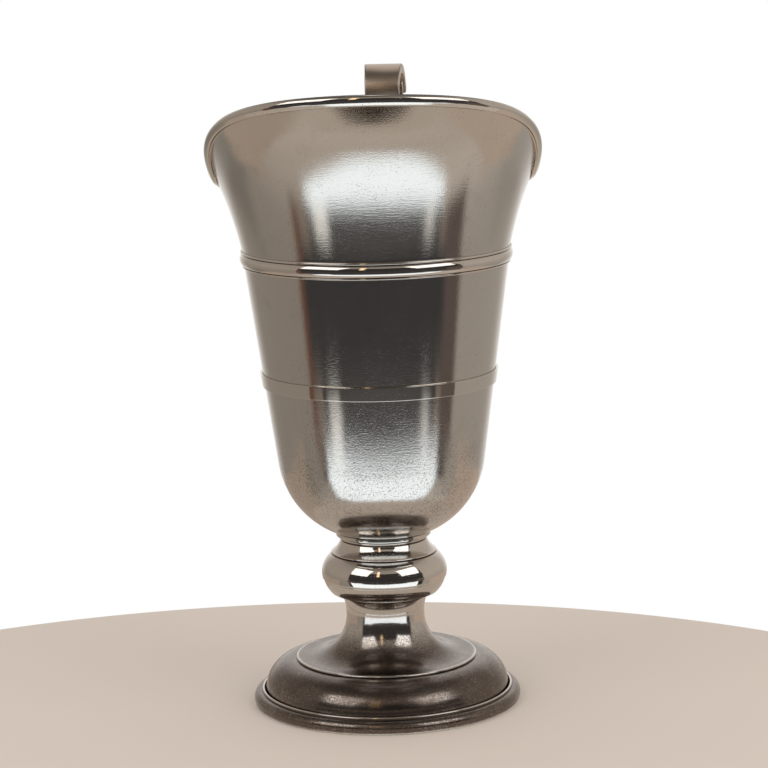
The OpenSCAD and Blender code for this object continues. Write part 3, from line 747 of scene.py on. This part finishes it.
def ring_outline(b, z0, z1, inner, outer):
    """Strip of the straight wall between two heights and two offsets."""
    return chain((b.r(z0) + inner, z0), (b.r(z0) + outer, z0), (b.r(z1) + outer, z1), (b.r(z1) + inner, z1))


def beaded_outline(s, b):
    """Strip with a broad flat arc between a thin bead along each edge."""
    z0, z1 = low("upper_band").z, high("upper_band").z

    def moulding(bottom, top, height):
        middle, half = (bottom + top) / 2, (top - bottom) / 2
        radius = (half ** 2 + height ** 2) / (2 * height)
        reach = rise_angle(half, radius)
        return arc((b.r(middle) + s.up_band_t + height - radius, middle), radius, -reach, reach, 20)

    return chain((b.r(z0) + s.gap, z0), moulding(z0, z0 + s.up_bead_w, s.up_bead_t),
                 moulding(z0 + s.up_bead_w, z1 - s.up_bead_w, s.up_round_t),
                 moulding(z1 - s.up_bead_w, z1, s.up_bead_t), (b.r(z1) + s.gap, z1))


def flared_lip(s, b):
    """The mouth: at each bearing the outer face runs up the straight foot and the flare's arc to
    the rim, a half round closes the rim, and the inner face runs back down.

    The outer face's shading normals turn a little more close under the rim, as a hammered edge does."""
    turn = np.linspace(0, 2 * np.pi, LIP_STEPS, endpoint=False)
    outer_end = b.rim_angle(turn, s.flare_r, s)
    inner_end = b.rim_angle(turn, s.flare_r + s.wall, s)
    foot = np.linspace(0, 1, 6)[:, None]
    climb = np.linspace(0, 1, 60)[:, None]

    def face(inset, end):
        radius = s.flare_r + inset
        start = b.kick_angle(inset, s)
        a = start + climb * (end[None] - start)
        r = b.flare_c[0] - radius * np.cos(a)
        z = b.flare_c[1] + radius * np.sin(a)
        foot_r = b.r(b.up_band) - inset / math.cos(s.taper)
        straight_r = foot_r + foot[:-1] * (r[:1] - foot_r)
        straight_z = b.up_band + foot[:-1] * (z[:1] - b.up_band)
        slope = np.vstack([np.full_like(straight_r, s.taper), a])
        return np.vstack([straight_r, r]), np.vstack([straight_z, z]), slope

    out_r, out_z, out_a = face(0.0, outer_end)
    in_r, in_z, in_a = face(s.wall, inner_end)
    share = np.clip((s.bend_from - (outer_end - out_a) * s.flare_r) / (s.bend_from - s.bend_to), 0, 1)
    out_a = out_a + s.bend * share ** 2 * (3 - 2 * share)
    swing = np.linspace(0, np.pi, 10)[1:-1, None]
    mid_r, mid_z = (out_r[-1] + in_r[-1]) / 2, (out_z[-1] + in_z[-1]) / 2
    half_r, half_z = (out_r[-1] - in_r[-1]) / 2, (out_z[-1] - in_z[-1]) / 2
    top_r = mid_r + np.cos(swing) * half_r
    top_z = mid_z + np.cos(swing) * half_z + np.sin(swing) * s.lip_top
    r = np.vstack([out_r, top_r, in_r[::-1]])
    z = np.vstack([out_z, top_z, in_z[::-1]])
    facing = np.vstack([-out_a, swing - outer_end, np.pi - in_a[::-1]])
    normals = np.stack([np.cos(facing) * np.sin(turn), -np.cos(facing) * np.cos(turn), np.sin(facing)], 2)
    return sweep("flared_lip", turn, r, z, normals.reshape(-1, 3))


def sweep(name, turn, r, z, normals=None):
    """A closed section carried round the axis: x = r sin t, y = -r cos t, from the lip's middle."""
    points = np.stack([r * np.sin(turn), -r * np.cos(turn), z], 2)
    rows = len(points)
    along = np.concatenate([[0], np.cumsum(np.linalg.norm(np.diff(points[:, 0], axis=0), axis=1))])
    quads, uv = net(rows, len(turn), True, along)
    flat = points.reshape(-1, 3)
    section = np.stack([r[:, 0], z[:, 0]], 1)
    step = np.roll(section, -1, 0) - np.roll(section, 1, 0)
    heading = np.unwrap(np.arctan2(step[:, 1], step[:, 0]))
    bend = np.gradient(heading) / np.maximum(np.linalg.norm(step, axis=1) / 2, 1e-9)
    sharp = np.clip(bend * SWEPT_EDGE, -1, 1)
    return add_piece(name, flat, [quads], [uv], normals, np.repeat(sharp, len(turn)))


def rolled_rim(s, b):
    """A round on an upright edge with a thin fillet under it, carried along the rim on the
    flare's own section: height over the wall against distance below the edge. The round is two
    arcs with a flat between them. Towards the spout the section leans up, so that its face stays
    near upright."""
    turn = np.linspace(0, 2 * np.pi, LIP_STEPS, endpoint=False)
    edge = b.rim_angle(turn, s.flare_r, s)
    round_w = s.mould_w - s.fillet_w
    swing = np.linspace(0, np.pi, 24)
    flat = math.degrees(s.flat_a)
    drop = math.tan(s.flat_a)
    low_r = (round_w - s.mould_flat * (math.cos(s.flat_a) + drop * (1 + math.sin(s.flat_a)))) / 2
    top_r = low_r + s.mould_flat * drop
    roll = chain(arc((s.mould_edge, top_r), top_r, -90, flat),
                 arc((s.mould_edge, round_w - low_r), low_r, flat, 90))
    fillet = np.stack([s.mould_edge + s.fillet_w / 2 * np.sin(swing),
                       round_w + s.fillet_w / 2 * (1 - np.cos(swing))], 1)
    section = chain((s.gap, 0), roll, fillet, (s.gap, s.mould_w))
    over, below = worn(section, RIM_EDGE, 64)[0].T[..., None]
    front = np.clip(np.cos(turn), 0, 1) ** 2
    over = over + np.tan(s.mould_lean * front) * below * np.clip((over - s.gap) / s.mould_t * 2, 0, 1)
    a = edge[None] - below / s.flare_r
    r = b.flare_c[0] - (s.flare_r - over) * np.cos(a)
    z = b.flare_c[1] + (s.flare_r - over) * np.sin(a)
    return sweep("rolled_rim", turn, r[::-1], z[::-1])


def strap_path(h, b, s):
    """Centre line of the strap in its own plane, as (distance behind the axis, height), with its
    outward normal and length: inner turn, scroll, long bow and tail curl as tangent arcs."""
    back = b.rim_angle(np.array([np.pi]), s.flare_r, s)[0]
    back_r = b.flare_c[0] - s.flare_r * math.cos(back)
    back_z = b.flare_c[1] + s.flare_r * math.sin(back)
    scroll = np.array([back_r + h.scroll_back, back_z + h.scroll_rise + h.curl_r])
    scroll_mid, curl_mid = h.scroll_r - h.strap_t / 2, h.curl_r - h.strap_t / 2
    curl = scroll - [scroll_mid - curl_mid, 0]
    way = np.array([math.cos(h.lean), math.sin(h.lean)])
    tail_z = b.low_band + h.tail_rise
    tail = np.array([b.r(tail_z) + h.pad_t + h.strap_t / 2 + h.tail_r, tail_z])
    span = scroll + scroll_mid * way - tail
    bow_r = (span @ span - h.tail_r ** 2) / (2 * (span @ way + h.tail_r))
    bow = scroll + (scroll_mid - bow_r) * way
    bow_a = bearing(bow, tail)
    lean = math.degrees(h.lean)
    runs = [(curl, curl_mid, math.degrees(h.curl_end), 180, 60), (scroll, scroll_mid, 180, lean, 50),
            (bow, bow_r, lean, bow_a, 240), (tail, h.tail_r, bow_a + 180, math.degrees(h.tail_end), 40)]
    line, out = [], []
    for k, (centre, radius, a0, a1, steps) in enumerate(runs):
        points = arc(centre, radius, a0, a1, steps)
        normal = (points - centre) / radius * (-1 if k == 3 else 1)
        line.append(points if k == 0 else points[1:])
        out.append(normal if k == 0 else normal[1:])
    line, out = np.vstack(line), np.vstack(out)
    return line, out, scroll, runs[0][-1] + runs[1][-1]


def scroll_strap(h, b, s):
    """The strap: a rectangle with worn corners carried along its centre line, with round ends.

    Beyond each end the thickness follows a half circle down to nothing."""
    line, out, scroll, scroll_steps = strap_path(h, b, s)
    way = np.gradient(line, axis=0)
    way /= np.linalg.norm(way, axis=1)[:, None]
    swell = np.sin(np.linspace(0.12, np.pi / 2, 9))[:-1]
    reach = np.sqrt(1 - swell ** 2) * h.strap_t / 2
    line = np.vstack([line[0] - reach[:, None] * way[0], line, line[-1] + reach[::-1, None] * way[-1]])
    out = np.vstack([np.repeat(out[:1], len(swell), 0), out, np.repeat(out[-1:], len(swell), 0)])
    thick = np.concatenate([swell, np.ones(len(line) - 2 * len(swell)), swell[::-1]]) * h.strap_t
    along = np.concatenate([[0], np.cumsum(np.linalg.norm(np.diff(line, axis=0), axis=1))])

    wide = np.interp(line[:, 0], [scroll[0] - h.scroll_r, scroll[0] + h.scroll_r], [h.curl_w, h.strap_w])
    z_tail = b.low_band + h.tail_rise - h.tail_r - h.strap_t
    grip = np.interp(line[:, 1], [z_tail, scroll[1] - h.shoulder_h, scroll[1]],
                     [h.tail_w, h.grip_w, h.strap_w])
    wide = np.where(np.arange(len(line)) < len(swell) + scroll_steps, wide, np.minimum(wide, grip))

    quarter = np.linspace(0, np.pi / 2, 5)
    a = np.concatenate([quarter, np.pi / 2 + quarter, np.pi + quarter, 1.5 * np.pi + quarter])
    side = np.repeat([[1, 1], [-1, 1], [-1, -1], [1, -1]], 5, axis=0)
    worn_r = np.minimum(h.worn_r, thick / 2 * 0.9)[:, None]
    across = side[:, 0] * (wide[:, None] / 2 - worn_r) + worn_r * np.cos(a)
    proud = side[:, 1] * (thick[:, None] / 2 - worn_r) + worn_r * np.sin(a)
    q = line[:, None, 0] + proud * out[:, None, 0]
    z = line[:, None, 1] + proud * out[:, None, 1]
    c, n = math.cos(h.turn), math.sin(h.turn)
    points = np.stack([across * c + q * n, q * c - across * n, z], 2)
    rows, columns = points.shape[:2]
    quads, uv = net(rows, columns, False, along)
    caps = np.stack([np.arange(columns), (rows - 1) * columns + np.arange(columns)[::-1]])
    cap_uv = np.zeros((2, columns, 2))
    return add_piece("scroll_strap", points.reshape(-1, 3), [quads, caps[:, ::-1]], [uv, cap_uv])


# Operators


class EWER_OT_foot(bpy.types.Operator):
    """Turn the base ring and the hollow dome"""
    bl_idname = "ewer.make_foot"
    bl_label = "Foot"

    def execute(self, context):
        s, stem = context.scene.ewer_foot, context.scene.ewer_stem
        dress(turned("turned_base_ring", base_ring_outline(s), CRISP_EDGE), "base_ring", "foot_pewter")
        dress(turned("turned_dome", foot_dome_outline(s, stem)), "foot_dome", "foot_pewter")
        return {"FINISHED"}


class EWER_OT_stem(bpy.types.Operator):
    """Turn the two halves of the knopped stem"""
    bl_idname = "ewer.make_stem"
    bl_label = "Stem"

    def execute(self, context):
        s, stem, bowl = context.scene.ewer_foot, context.scene.ewer_stem, context.scene.ewer_bowl
        lower = turned("turned_lower_stem", lower_stem_outline(s, stem), CRISP_EDGE, 240)
        dress(lower, "lower_stem", "foot_pewter")
        upper = turned("turned_upper_stem", upper_stem_outline(stem, bowl), CRISP_EDGE, 220)
        dress(upper, "upper_stem", "bright_pewter")
        return {"FINISHED"}


class EWER_OT_bowl(bpy.types.Operator):
    """Spin the cup and the plain wall of the bowl"""
    bl_idname = "ewer.make_bowl"
    bl_label = "Bowl"

    def execute(self, context):
        s = context.scene.ewer_bowl
        b = Bowl(s)
        dress(turned("spun_cup", cup_outline(s, b), closed=False), "bowl_cup", "bowl_pewter")
        wall = ring_outline(b, b.low_band, b.up_band, -b.skin, 0)
        dress(turned("spun_wall", wall, count=90), "bowl_wall", "bowl_pewter")
        return {"FINISHED"}


class EWER_OT_bands(bpy.types.Operator):
    """Turn the two bands over the bowl's seams"""
    bl_idname = "ewer.make_bands"
    bl_label = "Bands"

    def execute(self, context):
        s = context.scene.ewer_bowl
        b = Bowl(s)
        flat = ring_outline(b, low("lower_band").z, high("lower_band").z, s.gap, s.low_band_t)
        dress(turned("flat_band", flat, CRISP_EDGE, 100), "lower_band", "bright_pewter")
        dress(turned("beaded_band", beaded_outline(s, b), BEAD_EDGE), "upper_band", "bright_pewter")
        return {"FINISHED"}


class EWER_OT_lip(bpy.types.Operator):
    """Flare the lip and carry the moulding along its rim"""
    bl_idname = "ewer.make_lip"
    bl_label = "Lip"

    def execute(self, context):
        s = context.scene.ewer_bowl
        b = Bowl(s)
        dress(flared_lip(s, b), "bowl_lip", "bowl_pewter")
        dress(rolled_rim(s, b), "rim_moulding", "bright_pewter")
        return {"FINISHED"}


class EWER_OT_handle(bpy.types.Operator):
    """Bend the strap handle and finish its brackets"""
    bl_idname = "ewer.make_handle"
    bl_label = "Handle"

    def execute(self, context):
        s, h = context.scene.ewer_bowl, context.scene.ewer_handle
        dress(scroll_strap(h, Bowl(s), s), "handle_strap", "handle_pewter")
        for node in ("handle_upper_bracket", "handle_lower_bracket"):
            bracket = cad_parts[node]
            bracket.data.materials.clear()
            bracket.data.materials.append(pewter("handle_pewter"))
        return {"FINISHED"}


# Stage: bearings are degrees from the pouring lip to the right, levels are degrees over the horizon

ROOM_LEFT, ROOM_RIGHT = -69, 76
TENT = [(-90, 0.60), (-72, 0.59), (-57, 0.54), (-46, 0.49), (-34, 0.35), (-22, 0.32), (-8, 0.35),
        (6, 0.41), (34, 0.38), (48, 0.32), (60, 0.16), (76, 0.1), (90, 0.1)]
TENT_TINT = (1.0, 0.88, 0.76)
HEART = Vector((0, 0, 0.12))


def glow(name, paint, strength=1.0):
    """A card's material, plain light: paint is its colour, or gives it for a node tree."""
    material, tree, _ = new_material(name)
    tree.nodes.clear()
    tint = paint(tree) if callable(paint) else paint
    light = add_node(tree, "Emission", {"Color": tint, "Strength": strength})
    add_node(tree, "OutputMaterial", {"Surface": Wire(light)})
    return material


def card(name, points, faces, material):
    """A card that shows in the metal and nowhere else."""
    mesh = bpy.data.meshes.new(name)
    mesh.from_pydata(points, [], faces)
    mesh.materials.append(material)
    sheet = put(name, mesh)
    for ray in ("camera", "diffuse", "shadow", "volume_scatter"):
        setattr(sheet, "visible_" + ray, False)


def sector(name, turn, inner, outer, height, material):
    """A level card, a sector of a ring: x = r sin t, y = -r cos t."""
    t = np.radians(turn)
    r = np.stack([np.broadcast_to(inner, t.shape), np.broadcast_to(outer, t.shape)])
    points = np.stack([r * np.sin(t), -r * np.cos(t), np.full(r.shape, height)], 2)
    i, n = np.arange(len(t) - 1), len(t)
    faces = np.stack([i, i + 1, n + i + 1, n + i], 1)
    card(name, points.reshape(-1, 3).tolist(), faces.tolist(), material)


def stand(holder, place, way, up):
    """Puts an object at a place, its -Z along a way and its Y near up."""
    back = -way.normalized()
    right = Vector(up).cross(back).normalized()
    holder.location = place
    holder.rotation_mode = "QUATERNION"
    holder.rotation_quaternion = Matrix((right, back.cross(right), back)).transposed().to_quaternion()


def towards(azimuth, elevation):
    """Unit vector at a bearing and a level."""
    a, e = math.radians(azimuth), math.radians(elevation)
    return Vector((math.sin(a) * math.cos(e), -math.cos(a) * math.cos(e), math.sin(e)))


def window(name, azimuth, elevation, width, height, radiance, tint, distance=2.2):
    """A soft lamp that faces the ewer, given the light that it sends out per area."""
    lamp = bpy.data.lights.new(name, "AREA")
    lamp.shape = "RECTANGLE"
    lamp.size, lamp.size_y = width, height
    lamp.energy = radiance * math.pi * width * height
    lamp.color = tint
    holder = put(name, lamp)
    place = HEART + towards(azimuth, elevation) * distance
    stand(holder, place, HEART - place, (0, 0, 1))
    holder.visible_camera = False


def table(stage):
    """The round table: a disc with a rounded edge, x = r cos a, y = r sin a."""
    turn = np.linspace(0, 2 * np.pi, ROUND_STEPS, endpoint=False)
    fall = np.linspace(0, np.pi / 2, 8)
    soft, radius = stage.table_soft, stage.table_r
    r = np.concatenate([[0.3 * radius], radius - soft + soft * np.sin(fall), [radius]])
    z = np.concatenate([[0.0], soft * (np.cos(fall) - 1), [-stage.table_t]])
    points = np.stack([stage.table_x + r[:, None] * np.cos(turn), stage.table_y + r[:, None] * np.sin(turn),
                       np.repeat(z[:, None], len(turn), 1)], 2).reshape(-1, 3)
    quads, _ = net(len(r), len(turn), False, r)
    mesh = bpy.data.meshes.new("table")
    middle = tuple(range(len(turn)))
    mesh.from_pydata(points.tolist(), [], quads[:, ::-1].tolist() + [middle])
    mesh.polygons.foreach_set("use_smooth", np.ones(len(mesh.polygons), bool))
    mesh.update()
    material, _, shader = new_material("pale_table")
    feed(shader, {"Base Color": stage.table, "Roughness": 0.75, "Specular IOR Level": 0.15})
    mesh.materials.append(material)
    floor = put("table", mesh)
    floor.visible_glossy = False


def lip_bearing(x, y):
    """Bearing of a direction from the pouring lip."""
    return x.sum("ARCTAN2", x, y * -1.0) * (180 / math.pi)


def dark_paint(tree):
    """Colour of the dark floor by distance from the axis and bearing: paler close to the table,
    with brown flanks, two bright streaks, and a red and a brown edge."""
    x, y, _ = parts(Wire(add_node(tree, "TexCoord"), "Object"))
    out = x.sum("SQRT", x * x + y * y)
    side = lip_bearing(x, y)
    near = 1.0 - soft_step(out, 0.31, 0.355)
    streak = 1.0 - soft_step(out, 0.295, 0.345)
    flank = soft_step(abs(side), 53, 56) * (1.0 - soft_step(out, 0.325, 0.385))
    tone = mix(near, (0.052, 0.05, 0.05), (0.1, 0.094, 0.092))
    for mask, tint in ((flank, (0.27, 0.222, 0.185)),
                       (streak * between(side, -50, -38, 3), (1.05, 1.04, 1.0)),
                       (streak * between(side, 41, 49, 3), (0.74, 0.73, 0.7)),
                       (between(side, -75, -64, 1), (0.17, 0.085, 0.06)),
                       (between(side, 60, 80, 2), (0.13, 0.1, 0.09))):
        tone = mix(mask, tone, tint)
    return tone


def dark_room():
    """Dark floor in front of the table, as the metal shows it, with its near edge farther at the sides."""
    turn = np.linspace(ROOM_LEFT, ROOM_RIGHT, 73)
    around = np.abs(turn)
    near_edge, bow, corner = 0.244, 0.024, 0.012
    inner = near_edge + bow * np.minimum(around / 50, 1) ** 2 + corner * np.clip((around - 53) / 8, 0, 1)
    sector("dark_room", turn, inner, 4.0, 0.0, glow("dark_room", dark_paint))


def white_card():
    """White sheet far below and in front, as the metal shows it past the dark floor's near edge."""
    depth = 2.0
    outline = [(-0.95, -0.47), (-0.5, -0.58), (0.05, -0.6), (0.4, -0.52), (0.9, -0.44), (1.3, -0.6),
               (10.3, -4.8), (-9.8, -4.8), (-1.5, -0.8)]
    points = [(x * depth, y * depth, -depth) for x, y in outline]
    card("low_card", points, [tuple(range(len(points)))], glow("low_card", (0.92, 1.0, 1.06), 1.5))


def near_table():
    """The table as the lower pieces show it: rings close to the foot and sectors behind."""
    whole = np.linspace(0, 360, 65)
    foot_r, knop_r, ring_r, back_r = 53 * MM, 70 * MM, 90 * MM, 300 * MM
    low_z, knop_z = 0.5 * MM, 12 * MM
    beige = glow("near_table", (1.0, 0.86, 0.73), 0.55)
    sector("near_table", whole, foot_r, ring_r, low_z, beige)
    sector("knop_card", whole, knop_r, ring_r, knop_z, beige)
    for name, start, end, strength in (("table_left", -178, -88, 0.46), ("table_right", 88, 178, 0.56)):
        warm = glow(name, (1.0, 0.81, 0.66), strength)
        sector(name, np.linspace(start, end, 31), ring_r, back_r, low_z, warm)


def studio_world():
    """White behind the ewer; the metal sees a pale tent that opens to a dark room in front."""
    world = bpy.data.worlds.new("studio")
    bpy.context.scene.world = world
    world.use_nodes = True
    tree = world.node_tree
    tree.nodes.clear()
    x, y, z = parts(Wire(add_node(tree, "TexCoord"), "Generated"))
    level = z.sum("ARCSINE", z) * (180 / math.pi)
    side = lip_bearing(x, y)
    around = abs(side)
    ramp = add_node(tree, "ValToRGB", {0: level * (1 / 180) + 0.5})
    elements = ramp.color_ramp.elements
    while len(elements) < len(TENT):
        elements.new(0.5)
    for element, (degrees, value) in zip(elements, TENT):
        element.position = (degrees + 90) / 180
        element.color = (*(value * part for part in TENT_TINT), 1.0)
    to_right = soft_step(side, -70, 100) * soft_step(level, -66, -40)
    cloth = mix(1.0, Wire(ramp), mix(to_right, (1.0, 1.0, 1.0), (1.32, 1.35, 1.38)), "MULTIPLY")
    shade = soft_step(around, 110, 124) * between(level, -44, -21, 5)
    to_left = 1.0 - soft_step(side, -20, 20) * 0.55
    cloth = mix(shade * to_left, cloth, (0.74, 0.76, 0.77), "MULTIPLY")
    behind = soft_step(around, 136, 178) * soft_step(level, -55, -5)
    tent = mix(behind, cloth, (1.0, 0.97, 0.94))
    front = between(side, ROOM_LEFT, ROOM_RIGHT, 1.5) * between(level, -26, 36, 1.5)
    seen = mix(front, tent, (0.04, 0.037, 0.036))
    rays = add_node(tree, "LightPath")
    glossy = Wire(rays, "Is Glossy Ray")
    mirrored = glossy.sum("MAXIMUM", glossy, Wire(rays, "Is Transmission Ray"))
    shown = mix(mirrored, (0.86, 0.85, 0.84), seen)
    shown = mix(Wire(rays, "Is Camera Ray"), shown, (1.0, 1.0, 1.0))
    light = add_node(tree, "Background", {"Color": shown})
    add_node(tree, "OutputWorld", {"Surface": Wire(light)})


def camera(stage):
    """The photograph's view: it looks down, stands a little to the right and is rolled."""
    forward = -towards(math.degrees(stage.azimuth), math.degrees(stage.pitch))
    right = forward.cross(Vector((0, 0, 1))).normalized()
    up = right.cross(forward)
    target = Vector((0, 0, stage.aim_z)) + right * stage.aim_right
    rolled = up * math.cos(stage.roll) + right * math.sin(stage.roll)
    data = bpy.data.cameras.new("camera")
    data.lens = stage.lens
    data.sensor_width = 36.0
    data.clip_start = 0.05
    holder = put("camera", data)
    stand(holder, target - forward * stage.distance, forward, rolled)
    bpy.context.scene.camera = holder


class EWER_OT_stage(bpy.types.Operator):
    """Set the table, the lamps, the cards that the metal reflects, and the camera"""
    bl_idname = "ewer.make_stage"
    bl_label = "Stage"

    def execute(self, context):
        stage = context.scene.ewer_stage
        context.scene.view_settings.view_transform = "Standard"
        table(stage)
        studio_world()
        dark_room()
        white_card()
        near_table()
        window("left_window", -50, 36, 1.3, 1.1, 1.7, (1.0, 0.98, 0.95))
        window("right_window", 52, 34, 1.4, 1.1, 1.7, (1.0, 0.99, 0.97))
        window("warm_lamp", -12, 33, 0.16, 1.0, 1.6, (1.0, 0.72, 0.42))
        camera(stage)
        return {"FINISHED"}


class EWER_PT_panel(bpy.types.Panel):
    """The ewer's pieces in the order in which they are made"""
    bl_label = "Ewer"
    bl_idname = "EWER_PT_panel"
    bl_space_type = "VIEW_3D"
    bl_region_type = "UI"
    bl_category = "Ewer"

    def draw(self, context):
        for operator in OPERATORS:
            self.layout.operator(operator.bl_idname)


OPERATORS = (EWER_OT_foot, EWER_OT_stem, EWER_OT_bowl, EWER_OT_bands, EWER_OT_lip, EWER_OT_handle,
             EWER_OT_stage)
GROUPS = {"ewer_foot": FootSizes, "ewer_stem": StemSizes, "ewer_bowl": BowlSizes,
          "ewer_handle": HandleSizes, "ewer_finish": PewterFinish, "ewer_stage": StageSettings}


def register():
    for kind in (*GROUPS.values(), *OPERATORS, EWER_PT_panel):
        bpy.utils.register_class(kind)
    for name, kind in GROUPS.items():
        setattr(bpy.types.Scene, name, bpy.props.PointerProperty(type=kind))


def unregister():
    for name in GROUPS:
        delattr(bpy.types.Scene, name)
    for kind in (EWER_PT_panel, *OPERATORS[::-1], *GROUPS.values()):
        bpy.utils.unregister_class(kind)


def main():
    register()
    for operator in OPERATORS:
        family, _, step = operator.bl_idname.partition(".")
        getattr(getattr(bpy.ops, family), step)()


if __name__ == "__main__":
    main()
